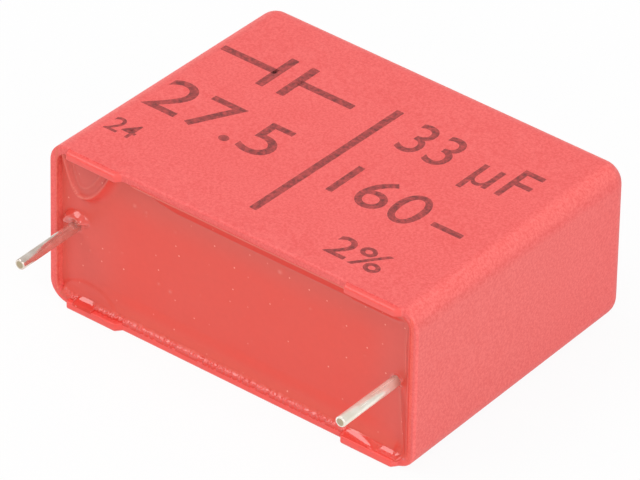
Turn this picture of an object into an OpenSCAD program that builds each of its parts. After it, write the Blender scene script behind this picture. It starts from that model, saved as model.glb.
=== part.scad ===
// Box film capacitor, radial leads, lying on one broad side.
// X runs along the line of the two leads, Y from the leads' side to the closed end, Z is up.
// The origin is the middle of the broad side that the capacitor lies on.

/* [Box] */
// Width of the case, along the line of the leads
case_w = 31.5; // [31:0.5:33]
// Height of the case, from the seating plane of its feet to its closed end
case_h = 24; // [22:0.5:28]
// Thickness of the case at its mouth, from the side it lies on to the printed side
case_t = 13; // [12:0.5:15]
// Thickness of the wall at the mouth
wall_t = 0.65; // [0.5:0.05:0.8]
// How much thicker the wall has grown where it reaches the closed end
wall_gain = 0.25; // [0.1:0.05:0.3]
// Thickness of the closed end
floor_t = 0.9; // [0.7:0.1:1.2]
// Mould draft of each narrow side, in degrees; the printed side takes twice this
draft_deg = 0.6; // [0.3:0.1:0.8]
// Radius of the four long edges
edge_r = 1.6; // [1.4:0.1:2]
// Radius of the edges round the closed end
end_r = 1.3; // [0.8:0.1:1.3]
// Bevel on the outer edge of the rim
rim_bevel = 0.2; // [0.1:0.05:0.3]

/* [Feet] */
// How far the feet stand out past the rim
foot_h = 0.45; // [0.3:0.05:0.6]
// Length of a foot's flat seat
foot_len = 4.25; // [3:0.25:4.5]
// Length of the slope at the end of each foot
foot_slope = 0.45; // [0.2:0.05:0.6]
// Where the left pair of feet begins
foot_left_x = -14; // [-14:0.25:-13]
// Where the right pair of feet begins
foot_right_x = 9.8; // [9:0.1:9.8]

/* [Resin] */
// Depth of the resin's surface behind the seating plane
resin_depth = 1.1; // [0.95:0.05:1.6]
// How far the resin climbs the walls
meniscus_h = 0.4; // [0.2:0.05:0.45]
// How far from the walls that climb begins
meniscus_w = 0.9; // [0.5:0.1:1.2]
// Radius of the resin's collar round each lead
collar_r = 1.15; // [0.8:0.05:1.2]
// How far that collar climbs the lead
collar_h = 0.5; // [0.2:0.05:0.5]

/* [Element] */
// Resin between the wound element and the walls, where it is thinnest
element_gap = 0.25; // [0.1:0.05:0.8]
// Depth of the wound element behind the seating plane
element_depth = 2.3; // [2.3:0.1:3.5]
// Thickness of the cover film's turns
wrap_t = 0.2; // [0.15:0.05:0.4]
// Thickness of the sprayed zinc past the film's edges
spray_t = 0.6; // [0.4:0.05:0.6]
// How far the film's edges reach into the zinc
key_depth = 0.4; // [0.2:0.1:0.6]
// Number of rings of film edge at each end
key_rings = 3; // [2:1:5]

/* [Leads] */
// Distance between the two leads' axes
lead_pitch = 27.5; // [22.5:2.5:27.5]
// Diameter of the leads
lead_d = 0.8; // [0.6:0.1:0.8]
// Free length of the leads past the seating plane
lead_free = 5; // [4:0.5:30]
// Length of the flattened end that is welded to the zinc
tab_len = 14; // [8:1:15]
// Thickness of that flattened end
tab_t = 0.55; // [0.4:0.05:0.6]
// How far the wire sinks into the zinc
weld_sink = 0.15; // [0.05:0.05:0.2]

/* [Hidden] */
$fn = 64;

draft = tan(draft_deg);
arc_steps = 8;                        // facets in a quarter of a moulded round
seat_y = -case_h/2;                   // seating plane of the feet
end_y = case_h/2;                     // outside of the closed end
rim_y = seat_y + foot_h;
resin_y = seat_y + resin_depth;
lip_y = resin_y - meniscus_h;         // highest line of the resin on the walls
lip_t = 0.03;                         // thickness of the resin's edge there
core_r = 0.8;                         // round between the cavity's walls and its floor
lead_z = case_t/2;
end_wall_t = wall_t + wall_gain;
element_t = case_t - 2*draft*case_h - 2*(end_wall_t + element_gap);
element_z = end_wall_t + element_gap + element_t/2;
element_y0 = seat_y + element_depth;
element_y1 = end_y - floor_t - 0.4;
spray_x = lead_pitch/2 - lead_d/2 + weld_sink;   // outer face of the zinc
film_x = spray_x - spray_t;           // end of the film's outermost edges
body_x = film_x - key_depth;          // end of the winding between them
spray_lip = 0.3;                      // the zinc catches this far round the winding
wrap_x = body_x - spray_lip;
spray_grow = 0.12;                    // and stands this far out from it
runout_len = 1.8;                     // from the round wire to its flattened end
round_y = seat_y + 0.5;               // where that run-out begins
tip_bevel = 0.06;
fill_r = 2.1;                         // reach of the resin that has crept up to the upper left foot
fill_h = 0.4;
pocket_r = 1.1;                       // and up to each lower foot
pocket_h = 0.3;

// ---- Sections and lofts -------------------------------------------------------------------

// A quarter of a circle in the XZ plane at the given y
function quarter(cx, cz, r, from, y) =
    [for (i = [0:arc_steps]) let (a = from + 90*i/arc_steps) [cx + r*cos(a), y, cz + r*sin(a)]];

// A rectangle with round corners, taken counter-clockwise as seen from the mouth
function section(hx, z0, z1, r, y) = concat(
    quarter(hx - r, z1 - r, r, 0, y),
    quarter(r - hx, z1 - r, r, 90, y),
    quarter(r - hx, z0 + r, r, 180, y),
    quarter(hx - r, z0 + r, r, 270, y));

// The case's outer section at y, drawn in on every side by inset. The side that the case
// lies on has no draft, so the printed side has all of it.
function drafted(y, inset) = section(
    case_w/2 - draft*(y - seat_y) - inset,
    inset,
    case_t - 2*draft*(y - seat_y) - inset,
    max(edge_r - inset, 0.25),
    y);

// The wall's thickness at y
function wall(y) = wall_t + wall_gain*(y - seat_y)/case_h;

// The steps of a quarter round of radius r, as [distance along Y, distance in from the side]
function round_steps(r) =
    [for (i = [0:arc_steps]) let (a = 90*i/arc_steps) [r*sin(a), r*(1 - cos(a))]];

// A closed skin over a list of sections that all have as many points
module loft(sections) {
    n = len(sections[0]);
    last = len(sections) - 1;
    points = [for (s = sections) each s];
    sides = [for (k = [0:last - 1], i = [0:n - 1])
        let (a = k*n + i, b = k*n + (i + 1)%n)
        each [[a, b, b + n], [a, b + n, a + n]]];
    polyhedron(points = points, faces = concat(
        [[for (i = [n - 1:-1:0]) i]],
        sides,
        [[for (i = [0:n - 1]) last*n + i]]));
}

// An outline in the YZ plane, drawn out along X from x0 to x1
module along_x(x0, x1) {
    translate([x0, 0, 0]) rotate([90, 0, 90]) linear_extrude(x1 - x0) children();
}

// A flat-pressed roll's outline: two straight sides and two round ends
module roll_outline(inset) {
    r = element_t/2 - inset;
    ya = element_y0 + element_t/2;
    yb = element_y1 - element_t/2;
    translate([ya, element_z - r]) square([yb - ya, 2*r]);
    for (y = [ya, yb])
        translate([y, element_z]) circle(r);
}

// ---- The case ------------------------------------------------------------------------------

// The outside, from y0 to the closed end
module case_outside(bevel, y0) {
    loft(concat(
        [drafted(y0, bevel), drafted(y0 + max(bevel, 0.1), 0)],
        [for (s = round_steps(end_r)) drafted(end_y - end_r + s[0], s[1])]));
}

// The cavity, from y0 to the floor
module cavity(y0) {
    floor_y = end_y - floor_t;
    loft(concat(
        [drafted(y0, wall(y0))],
        [for (s = round_steps(core_r))
            let (y = floor_y - core_r + s[0]) drafted(y, wall(y) + s[1])]));
}

// A foot is a stretch of the long wall that stands out past the rim, stepped at one end
// and sloped at the other
module foot_profile(x0, z0, z1) {
    translate([x0, 0, z0]) linear_extrude(z1 - z0)
        polygon([[0, seat_y], [foot_len, seat_y], [foot_len + foot_slope, rim_y],
                 [foot_len + foot_slope, rim_y + 1], [0, rim_y + 1]]);
}

module feet() {
    reach = edge_r + 0.1;
    intersection() {
        case_outside(0, seat_y);
        for (x = [foot_left_x, foot_right_x], z = [0, case_t - reach])
            foot_profile(x, z, z + reach);
    }
}

module case() {
    color([0.98, 0.44, 0.43]) difference() {
        union() {
            case_outside(rim_bevel, rim_y);
            feet();
        }
        cavity(seat_y - 1);
    }
}

// ---- Element ------------------------------------------------------------------------------

// The wound film. At each end some turns stand out a little, so the winding ends in rings of
// film edge that the zinc grips.
module film_winding() {
    pitch = (element_t/2 - wrap_t)/(key_rings + 1);
    color([0.82, 0.82, 0.84]) union() {
        along_x(-body_x, body_x) roll_outline(wrap_t);
        for (x0 = [-film_x, body_x - 0.1], k = [0:key_rings - 1])
            along_x(x0, x0 + key_depth + 0.1) difference() {
                roll_outline(wrap_t + (k + 0.25)*pitch);
                roll_outline(wrap_t + (k + 0.75)*pitch);
            }
    }
}

// Plain film wound round the outside to protect the winding
module wrap_film() {
    color([0.93, 0.86, 0.55]) along_x(-wrap_x, wrap_x) difference() {
        roll_outline(0);
        roll_outline(wrap_t);
    }
}

// Zinc sprayed on to one end of the winding
module end_spray(side) {
    x = [side*wrap_x, side*spray_x];
    color([0.62, 0.63, 0.65]) difference() {
        along_x(min(x), max(x)) roll_outline(wrap_t - spray_grow);
        film_winding();
        lead(side);
    }
}

// ---- Leads --------------------------------------------------------------------------------

// Tinned wire, round outside the resin. Inside, it is rolled flat and lies on the zinc.
module lead(side) {
    x = side*lead_pitch/2;
    r = lead_d/2;
    tip_y = seat_y - lead_free;
    tab_w = PI*r*r/tab_t + 0.1;                        // the flat keeps the wire's section
    tab_x = side*(lead_pitch/2 - r + tab_t/2);         // and its inner side
    flat_y = round_y + runout_len;
    color([0.86, 0.83, 0.78]) union() {
        translate([x, tip_y + tip_bevel, lead_z]) rotate([-90, 0, 0])
            cylinder(h = round_y - tip_y - tip_bevel, r = r);
        translate([x, tip_y, lead_z]) rotate([-90, 0, 0])
            cylinder(h = tip_bevel, r1 = r - tip_bevel, r2 = r);
        hull() {
            translate([x, round_y, lead_z]) rotate([-90, 0, 0])
                cylinder(h = 0.01, r = r, $fn = 32);
            translate([tab_x - tab_t/2, flat_y, lead_z - tab_w/2]) cube([tab_t, 0.01, tab_w]);
        }
        translate([tab_x - tab_t/2, flat_y, lead_z - tab_w/2]) cube([tab_t, tab_len, tab_w]);
    }
}

module lead_left() lead(-1);
module lead_right() lead(1);

// ---- Resin --------------------------------------------------------------------------------

// The hollow that the climbing resin leaves: open at the top, and rounded down to the surface
module meniscus_hollow() {
    steps = [for (i = [0:arc_steps]) let (a = 90*i/arc_steps)
        [lip_y + meniscus_h*sin(a), lip_t + (meniscus_w - lip_t)*(1 - cos(a))]];
    loft(concat(
        [drafted(lip_y - 1, wall(lip_y) + lip_t)],
        [for (s = steps) drafted(s[0], wall(s[0]) + s[1])]));
}

// Resin drawn up round a lead
module collar(side) {
    r = lead_d/2 + lip_t;
    arc = [for (i = [0:arc_steps]) let (a = 90*i/arc_steps)
        [r + (collar_r - r)*(1 - sin(a)), collar_h*(1 - cos(a))]];
    translate([side*lead_pitch/2, resin_y, lead_z]) rotate([90, 0, 0])
        rotate_extrude() polygon(concat([[0, -0.4], [collar_r, -0.4]], arc, [[0, collar_h]]));
}

// Resin that has crept up to a foot: the top of a large ball, cut off by the walls
module creep(x, z, reach, rise) {
    ball_r = (reach*reach + rise*rise)/(2*rise);
    intersection() {
        translate([x, resin_y - rise + ball_r, z]) sphere(ball_r);
        translate([x - reach - 1, resin_y - rise, z - reach - 1])
            cube([2*reach + 2, rise + 0.4, 2*reach + 2]);
        cavity(lip_y);
    }
}

module resin_seal() {
    foot_mid = foot_len/2;
    color([0.91, 0.38, 0.34]) difference() {
        union() {
            difference() {
                cavity(lip_y);
                meniscus_hollow();
            }
            for (side = [-1, 1]) collar(side);
            creep(foot_left_x + foot_mid, case_t - wall_t, fill_r, fill_h);
            creep(foot_left_x + foot_mid - 0.6, wall_t, pocket_r, pocket_h);
            creep(foot_right_x + foot_mid, wall_t, pocket_r, pocket_h);
        }
        along_x(-wrap_x, wrap_x) roll_outline(0);
        along_x(-spray_x, spray_x) roll_outline(wrap_t - spray_grow);
        lead(-1);
        lead(1);
    }
}

module end_spray_left() end_spray(-1);
module end_spray_right() end_spray(1);

case();
resin_seal();
film_winding();
wrap_film();
end_spray_left();
end_spray_right();
lead_left();
lead_right();
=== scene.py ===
# %% [markdown]
# # A box film capacitor
#
# This lesson dresses a small radial film capacitor: a moulded red box that lies on one broad
# side, sealed with cast resin at its open mouth, with two tinned wires and printed ratings.
# The exact solids come from the frame, which is in metres. Every piece below is modelled at
# its real size and in its real place, so nothing has to be fitted afterwards.

# %% Load the exact solids and their box
import math

import bmesh
import bpy
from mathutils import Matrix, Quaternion, Vector, noise


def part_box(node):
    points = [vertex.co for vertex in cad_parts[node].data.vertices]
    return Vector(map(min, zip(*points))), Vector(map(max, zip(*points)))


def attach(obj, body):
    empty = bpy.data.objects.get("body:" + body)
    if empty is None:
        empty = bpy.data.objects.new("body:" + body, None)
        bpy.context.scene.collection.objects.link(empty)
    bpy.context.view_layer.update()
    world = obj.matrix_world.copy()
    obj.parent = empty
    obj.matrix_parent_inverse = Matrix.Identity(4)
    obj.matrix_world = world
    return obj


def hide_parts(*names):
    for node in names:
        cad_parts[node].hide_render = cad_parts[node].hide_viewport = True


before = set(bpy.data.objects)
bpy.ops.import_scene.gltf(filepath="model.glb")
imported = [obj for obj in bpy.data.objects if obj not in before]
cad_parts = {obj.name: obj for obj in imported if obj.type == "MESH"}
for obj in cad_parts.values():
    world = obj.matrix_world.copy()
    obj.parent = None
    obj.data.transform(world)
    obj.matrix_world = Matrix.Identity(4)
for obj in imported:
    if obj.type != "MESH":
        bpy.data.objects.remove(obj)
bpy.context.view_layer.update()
mm = 0.001

CASE_LOW, CASE_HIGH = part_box("case")
LEAD_LOW, LEAD_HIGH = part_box("lead_right")
print("exact solids:", sorted(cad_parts))

# %% [markdown]
# ## The camera
#
# A long lens from well above the right-hand corner shows the mouth, the printed side and one
# narrow side at once. The small roll is set by turning the camera about its own view axis
# after it has been aimed.

# %% Aim the camera
CAMERA_PLACE = Vector((261.164, -337.513, 309.276)) * mm
CAMERA_AIM = Vector((-0.626, -1.069, 5.855)) * mm
CAMERA_ROLL = math.radians(1.199)
CAMERA_LENS = 434.67

bpy.ops.object.select_all(action="DESELECT")
bpy.ops.object.camera_add(location=CAMERA_PLACE)
camera = bpy.context.object
camera.name = "camera"
aim = (CAMERA_AIM - CAMERA_PLACE).to_track_quat("-Z", "Y")
camera.rotation_mode = "QUATERNION"
camera.rotation_quaternion = aim @ Quaternion((0.0, 0.0, 1.0), CAMERA_ROLL)
camera.data.sensor_width = 36.0
camera.data.lens = CAMERA_LENS
bpy.context.scene.camera = camera
print("camera lens", camera.data.lens, "mm")

# %% [markdown]
# ## Picking faces and edges by place
#
# By hand, a maker clicks on a face before extruding or bevelling it. In a script the same
# choice is made by where the face is and which way it looks. These helpers first clear the
# old choice, because an operator acts on all that is selected.

# %% Selection helpers
TINY = 0.002 * mm


def choose(piece):
    """Make this piece the only one chosen."""
    bpy.ops.object.select_all(action="DESELECT")
    bpy.context.view_layer.objects.active = piece
    piece.select_set(True)


def start_editing(piece):
    """Choose a piece, enter edit mode and choose nothing in it."""
    choose(piece)
    bpy.ops.object.mode_set(mode="EDIT")
    bpy.ops.mesh.select_mode(type="FACE")
    bpy.ops.mesh.select_all(action="DESELECT")


def stop_editing():
    """Leave edit mode."""
    bpy.ops.object.mode_set(mode="OBJECT")


def pick(piece, mode, test):
    """Choose the faces, edges or points that pass the test, and count them."""
    bpy.ops.mesh.select_mode(type=mode)
    bpy.ops.mesh.select_all(action="DESELECT")
    mesh = bmesh.from_edit_mesh(piece.data)
    parts = {"FACE": mesh.faces, "EDGE": mesh.edges, "VERT": mesh.verts}[mode]
    chosen = [part for part in parts if test(part)]
    for part in chosen:
        part.select_set(True)
    if mode == "VERT":
        mesh.select_flush_mode()
    bmesh.update_edit_mesh(piece.data)
    return len(chosen)


def pick_faces(piece, test):
    """Choose the faces whose centre and normal pass the test."""
    return pick(piece, "FACE", lambda face: test(face.calc_center_median(), face.normal))


def pick_edges(piece, test):
    """Choose the edges whose two ends pass the test."""
    return pick(piece, "EDGE", lambda edge: test(edge.verts[0].co, edge.verts[1].co))


def pick_points(piece, test):
    """Choose the points whose places pass the test."""
    return pick(piece, "VERT", lambda point: test(point.co))


def round_chosen(radius, segments):
    """Round the chosen edges."""
    bpy.ops.mesh.bevel(
        offset=radius, offset_type="OFFSET", segments=segments, profile=0.5,
        affect="EDGES", clamp_overlap=False)


def cut_chosen(axis, place):
    """Cut the chosen faces with a plane that stands square to an axis at a place on it."""
    normal = [1.0 if name == axis else 0.0 for name in "XYZ"]
    bpy.ops.mesh.bisect(
        plane_co=[place * share for share in normal], plane_no=normal, threshold=1e-7)


def add_block(name, low, high):
    """A block between two corners, with its place in its mesh."""
    bpy.ops.object.select_all(action="DESELECT")
    centre = (low + high) / 2
    bpy.ops.mesh.primitive_cube_add(size=1.0, location=centre, scale=high - low)
    block = bpy.context.object
    block.name = name
    block.data.name = name
    bpy.ops.object.transform_apply(location=True, rotation=True, scale=True)
    return block


def soft_step(value, start, stop):
    """Nothing at start, one at stop, with a soft change between them."""
    share = min(max((value - start) / (stop - start), 0.0), 1.0)
    return share * share * (3.0 - 2.0 * share)


def apply_modifier(piece, kind, **settings):
    """Add a modifier to a piece, set it and apply it at once."""
    choose(piece)
    bpy.ops.object.modifier_add(type=kind)
    modifier = piece.modifiers[-1]
    for key, value in settings.items():
        setattr(modifier, key, value)
    bpy.ops.object.modifier_apply(modifier=modifier.name)


# %% [markdown]
# ## A drafted block
#
# Box and cavity are both moulded, so their walls lean in a little towards the closed end and
# let go of the mould. One helper starts both: a block whose far end is drawn in, whose four
# long edges are rounded, and whose far rim is rounded too. The side that the capacitor lies
# on stays flat, so that it rests without rocking.

# %% The drafted, rounded block
DRAFT = math.tan(math.radians(0.6))
LONG_EDGE_STEPS = 12
END_EDGE_STEPS = 8


def draw_in(low, high, end_low, end_high):
    """Scale the chosen far end from the mouth's corners to its own."""
    width_ratio = (end_high.x - end_low.x) / (high.x - low.x)
    height_ratio = (end_high.z - end_low.z) / (high.z - low.z)
    fixed_z = (end_low.z - low.z * height_ratio) / (1.0 - height_ratio)
    bpy.ops.transform.resize(
        value=(width_ratio, 1.0, height_ratio), center_override=(0.0, end_low.y, fixed_z))


def drafted_block(name, low, mouth_high, end_low, end_high, edge_r, end_r):
    """A block from its mouth's corners to its closed end's corners, rounded like a moulding."""
    high = Vector((mouth_high.x, end_high.y, mouth_high.z))
    block = add_block(name, low, high)
    start_editing(block)
    pick_faces(block, lambda place, normal: normal.y > 0.9)
    draw_in(low, high, end_low, end_high)
    pick_edges(block, lambda a, b: abs(a.y - b.y) > (high.y - low.y) / 2)
    round_chosen(edge_r, LONG_EDGE_STEPS)
    pick_edges(block, lambda a, b: min(a.y, b.y) > high.y - TINY)
    round_chosen(end_r, END_EDGE_STEPS)
    stop_editing()
    return block


print("draft:", round(math.degrees(math.atan(DRAFT)), 2), "degrees")


# %% [markdown]
# ## The moulded box
#
# The box is thin polyester with a matt, spark-eroded skin. It could be lofted from sections,
# but a block that is rounded, inset at the mouth and extruded inwards is quicker and keeps
# clean strips of faces along every edge. The wall is thinnest at the mouth and grows towards
# the closed end.

# %% Sizes of the box
FEET_Y = CASE_LOW.y
END_Y = CASE_HIGH.y
FOOT_HEIGHT = 0.45 * mm
RIM_Y = FEET_Y + FOOT_HEIGHT
MOUTH_LOW = Vector((CASE_LOW.x, RIM_Y, CASE_LOW.z))
MOUTH_HIGH = Vector((CASE_HIGH.x, RIM_Y, CASE_HIGH.z - 2 * DRAFT * FOOT_HEIGHT))
BOX_DEPTH = END_Y - RIM_Y
END_LOW = Vector((MOUTH_LOW.x + DRAFT * BOX_DEPTH, END_Y, MOUTH_LOW.z))
END_HIGH = Vector((MOUTH_HIGH.x - DRAFT * BOX_DEPTH, END_Y, MOUTH_HIGH.z - 2 * DRAFT * BOX_DEPTH))
EDGE_RADIUS = 1.6 * mm
END_RADIUS = 1.3 * mm

WALL = 0.65 * mm
WALL_GAIN = 0.25 * mm
FLOOR = 0.9 * mm
CORE_RADIUS = 0.8 * mm
FLOOR_Y = END_Y - FLOOR


def cavity_corners(y):
    """The cavity's lowest and highest corner at a depth in the box."""
    share = (y - RIM_Y) / BOX_DEPTH
    wall = WALL + WALL_GAIN * share
    outer_low = MOUTH_LOW.lerp(END_LOW, share)
    outer_high = MOUTH_HIGH.lerp(END_HIGH, share)
    low = Vector((outer_low.x + wall, y, outer_low.z + wall))
    high = Vector((outer_high.x - wall, y, outer_high.z - wall))
    return low, high


print("box", [round(v / mm, 3) for v in (MOUTH_HIGH.x * 2, BOX_DEPTH, MOUTH_HIGH.z)], "mm")

# %% Outside of the box
box = drafted_block(
    "moulded_box", MOUTH_LOW, MOUTH_HIGH, END_LOW, END_HIGH, EDGE_RADIUS, END_RADIUS)
print("outside:", len(box.data.polygons), "faces")

# %% Hollow it from the mouth
start_editing(box)
pick_faces(box, lambda place, normal: normal.y < -0.9 and place.y < RIM_Y + TINY)
bpy.ops.mesh.inset(thickness=WALL, depth=0.0, use_even_offset=True)
bpy.ops.mesh.extrude_region_move(TRANSFORM_OT_translate={"value": (0.0, FLOOR_Y - RIM_Y, 0.0)})
draw_in(*cavity_corners(RIM_Y), *cavity_corners(FLOOR_Y))


def on_floor_loop(a, b):
    """Edges round the cavity's floor, not those of the closed end outside it."""
    return abs(a.y - FLOOR_Y) < TINY and abs(b.y - FLOOR_Y) < TINY


pick_edges(box, on_floor_loop)
round_chosen(CORE_RADIUS, 4)
stop_editing()
print("hollowed:", len(box.data.polygons), "faces")

# %% [markdown]
# ### A soft rim
#
# A moulded rim is never knife-sharp. Its outer edge is rounded more than its inner one, and
# the light that this catches is what draws the mouth's outline. The two loops are told apart
# by how far they lie from the box's middle.

# %% Round both edges of the rim
RIM_OUTER_ROUND = 0.2 * mm
RIM_INNER_ROUND = 0.1 * mm
LOOP_REACH = 0.04 * mm


def outside_distance(point, half_x, low_z, high_z, radius):
    """How far a point lies outside a rectangle with round corners, seen from the mouth."""
    middle_z = (low_z + high_z) / 2
    side_x = abs(point.x) - (half_x - radius)
    side_z = abs(point.z - middle_z) - ((high_z - low_z) / 2 - radius)
    corner = math.hypot(max(side_x, 0.0), max(side_z, 0.0))
    return corner + min(max(side_x, side_z), 0.0) - radius


def on_rim(a, b, inner):
    """Rim edges: the outer loop, or the inner one."""
    if max(abs(a.y - RIM_Y), abs(b.y - RIM_Y)) > TINY:
        return False
    inset = WALL if inner else 0.0
    for point in (a, b):
        off = outside_distance(
            point, MOUTH_HIGH.x - inset, MOUTH_LOW.z + inset, MOUTH_HIGH.z - inset,
            EDGE_RADIUS - inset)
        if abs(off) > LOOP_REACH:
            return False
    return True


start_editing(box)
outer_count = pick_edges(box, lambda a, b: on_rim(a, b, inner=False))
round_chosen(RIM_OUTER_ROUND, 4)
inner_count = pick_edges(box, lambda a, b: on_rim(a, b, inner=True))
round_chosen(RIM_INNER_ROUND, 3)
stop_editing()
print("rim edges rounded:", outer_count, "outside and", inner_count, "inside")

# %% [markdown]
# ### The stand-off feet
#
# Four stretches of the long rims stand 0.45 mm proud, so that air can pass under the part on
# its board. Each foot has a sharp step at one end and a slope at the other. The rim is cut
# into narrow columns there, and each column of points is slid out to the foot's outline, so
# the rim's rounding runs on over the feet.

# %% Outline of the feet along X, as places and heights in millimetres
STEP_ROUND = ((0.0, 0.0), (0.03, 0.05), (0.05, 0.32), (0.09, 0.4), (0.15, 0.44), (0.22, 0.45))
SLOPE_ROUND = ((0.0, 0.45), (0.08, 0.42), (0.38, 0.07), (0.45, 0.02), (0.55, 0.0))
FOOT_SPANS = ((-14.0, -9.75), (9.8, 14.05))


def foot_outline():
    """The rim's outline as (place, height) pairs from left to right."""
    outline = []
    for step_x, slope_x in FOOT_SPANS:
        outline += [(step_x + along, height) for along, height in STEP_ROUND]
        outline += [(slope_x + along, height) for along, height in SLOPE_ROUND]
    return outline


FOOT_OUTLINE = foot_outline()
print("feet on each long rim:", len(FOOT_SPANS))


def foot_height(x):
    """How far the rim stands out at x, read off the outline."""
    place = x / mm
    for (x0, h0), (x1, h1) in zip(FOOT_OUTLINE, FOOT_OUTLINE[1:]):
        if x0 <= place <= x1:
            return (h0 + (h1 - h0) * (place - x0) / (x1 - x0)) * mm
    return 0.0


# %% Cut the rim's columns and slide them out
RIM_BAND = 0.9 * mm
SLIDING_DEPTH = 0.25 * mm
LONG_RIMS_OUT = 4.5 * mm
TOP_BAND = 0.3 * mm
FOOT_TOP_FROM = 0.05 * mm
FOOT_STEP = 0.08 * mm
STEP_RINGS = ((0.32 * mm, 0.3 * mm, 0.0), (0.26 * mm, 0.28 * mm, FOOT_STEP))  # depth, slide, sink
MIDDLE_Z = (MOUTH_LOW.z + MOUTH_HIGH.z) / 2


def slides(point):
    """The points of the two long rims that move with the feet."""
    return point.y < RIM_Y + SLIDING_DEPTH and abs(point.z - MIDDLE_Z) > LONG_RIMS_OUT


start_editing(box)
for ring_y in (RIM_BAND, *(ring[0] for ring in STEP_RINGS)):
    pick_faces(box, lambda place, normal: abs(normal.y) < 0.5)
    cut_chosen("Y", RIM_Y + ring_y)
for outline_x, _ in FOOT_OUTLINE:
    pick_faces(
        box,
        lambda place, normal: place.y < RIM_Y + RIM_BAND and abs(place.x) < MOUTH_HIGH.x - WALL)
    cut_chosen("X", outline_x * mm)

mesh = bmesh.from_edit_mesh(box.data)
columns = {}  # a dictionary keeps the order in which the columns were found
for point in mesh.verts:
    if slides(point.co) and foot_height(point.co.x) > 0.0:
        columns[(round(point.co.x, 7), point.co.z > MIDDLE_Z)] = True
for (column_x, upper) in columns:
    lift = foot_height(column_x)

    def in_column(point):
        return (
            abs(point.x - column_x) < 1e-7 and slides(point) and (point.z > MIDDLE_Z) == upper)

    pick_points(box, in_column)
    lean = 2 * DRAFT * lift if upper else 0.0
    bpy.ops.transform.translate(value=(0.0, -lift, lean))
    if not upper:
        continue

    def on_top(point):
        return abs(point.x - column_x) < 1e-7 and point.z > MOUTH_HIGH.z - TOP_BAND

    full = lift / FOOT_HEIGHT
    for ring_y, slide, sink in STEP_RINGS:
        pick_points(
            box, lambda point: on_top(point) and abs(point.y - (RIM_Y + ring_y)) < TINY)
        bpy.ops.transform.translate(value=(0.0, -slide * full, -sink * full))
    pick_points(box, lambda point: on_top(point) and point.y < RIM_Y - FOOT_TOP_FROM)
    bpy.ops.transform.translate(value=(0.0, 0.0, -FOOT_STEP * full))
stop_editing()
print("foot columns slid out:", len(columns))

# %% [markdown]
# ### Shading of the box
#
# The broad sides should look flat right up to their rounded edges. Smooth shading alone
# would smear the rounding across them, so a Weighted Normal modifier lets the big faces
# decide the normals, as they do on a real moulding.

# %% Shade the box
choose(box)
bpy.ops.object.shade_smooth_by_angle(angle=math.radians(50.0))
apply_modifier(box, "WEIGHTED_NORMAL", keep_sharp=True)
print("box finished:", len(box.data.polygons), "faces")

# %% [markdown]
# ### Painted edge highlights
#
# The rounded upper edges and the rim's right outer edge are painted a paler red, a highlight
# that stands in for the light they catch. Each point remembers how far it is turned between
# two faces of the box, and the finish reads that share from an attribute.

# %% Note the painted edge highlights
SIDE_TURNS = (18.0, 38.0)  # degrees from the narrow side, where the painted highlight starts and is full
TOP_TURNS = (82.0, 66.0)  # the same from the printed side
RIM_DEPTHS = (0.26 * mm, 0.16 * mm)
OUTWARD = (0.3, 0.7)


def edge_highlight_share(point):
    """One on the rounded upper edges and on the rim's right outer edge, nothing on the flats."""
    turn = math.degrees(math.asin(min(max(point.normal.z, 0.0), 1.0)))
    upper = soft_step(turn, *SIDE_TURNS) * soft_step(turn, *TOP_TURNS)
    rim = soft_step(point.co.y, *(RIM_Y + depth for depth in RIM_DEPTHS))
    right = rim * soft_step(point.normal.x, *OUTWARD) * (point.co.x > 0.0)
    return max(upper * (1.0 - rim), right)


edge_highlight = box.data.attributes.new(name="edge_highlight", type="FLOAT", domain="POINT")
for index, point in enumerate(box.data.vertices):
    edge_highlight.data[index].value = edge_highlight_share(point)
print("rubbed points:", sum(1 for item in edge_highlight.data if item.value > 0.5))

# %% [markdown]
# ## The cast resin
#
# The resin is poured into the mouth and sets with a skin that is flat in the middle and climbs
# whatever it touches: the walls, both wires and the feet. A sheet of fine faces carries that
# skin. Heights are painted as vertex weights, each from a plain rule about distance, and
# Displace modifiers turn the weights into relief. That keeps every form adjustable by itself.

# %% The sheet of the resin's skin
RESIN_Y = FEET_Y + 1.1 * mm
SKIN_STEP = 0.12 * mm
SKIN_MARGIN = 0.3 * mm

skin_low, skin_high = cavity_corners(RESIN_Y)
skin_width = skin_high.x - skin_low.x + 2 * SKIN_MARGIN
skin_height = skin_high.z - skin_low.z + 2 * SKIN_MARGIN
skin_centre = Vector((0.0, RESIN_Y, (skin_low.z + skin_high.z) / 2))
columns_x = round(skin_width / SKIN_STEP)
columns_z = round(skin_height / SKIN_STEP)

bpy.ops.object.select_all(action="DESELECT")
bpy.ops.mesh.primitive_grid_add(
    x_subdivisions=columns_x, y_subdivisions=columns_z, size=1.0, location=skin_centre,
    rotation=(math.radians(90.0), 0.0, 0.0))
resin = bpy.context.object
resin.scale = (skin_width, skin_height, 1.0)
resin.name = "cast_resin"
resin.data.name = "cast_resin"
bpy.ops.object.transform_apply(location=True, rotation=True, scale=True)
print("resin sheet:", len(resin.data.polygons), "faces")

# %% Finer faces where the resin climbs the walls
FINE_BAND = 1.15 * mm
LACE_BAND = 0.5 * mm
BELOW_SKIN = 0.1 * mm
PAST_WALL = 0.2 * mm
SKIN_RADIUS = EDGE_RADIUS - WALL


def wall_distance(point):
    """How far a point of the skin lies from the nearest wall of the cavity."""
    return -outside_distance(point, skin_high.x, skin_low.z, skin_high.z, SKIN_RADIUS)


start_editing(resin)
pick_faces(resin, lambda place, normal: wall_distance(place) < FINE_BAND)
bpy.ops.mesh.subdivide(number_cuts=1)
pick_faces(
    resin,
    lambda place, normal: -BELOW_SKIN < place.z - skin_low.z < LACE_BAND
    and wall_distance(place) > -PAST_WALL)
bpy.ops.mesh.subdivide(number_cuts=1)
stop_editing()
print("with finer edges:", len(resin.data.polygons), "faces")

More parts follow.
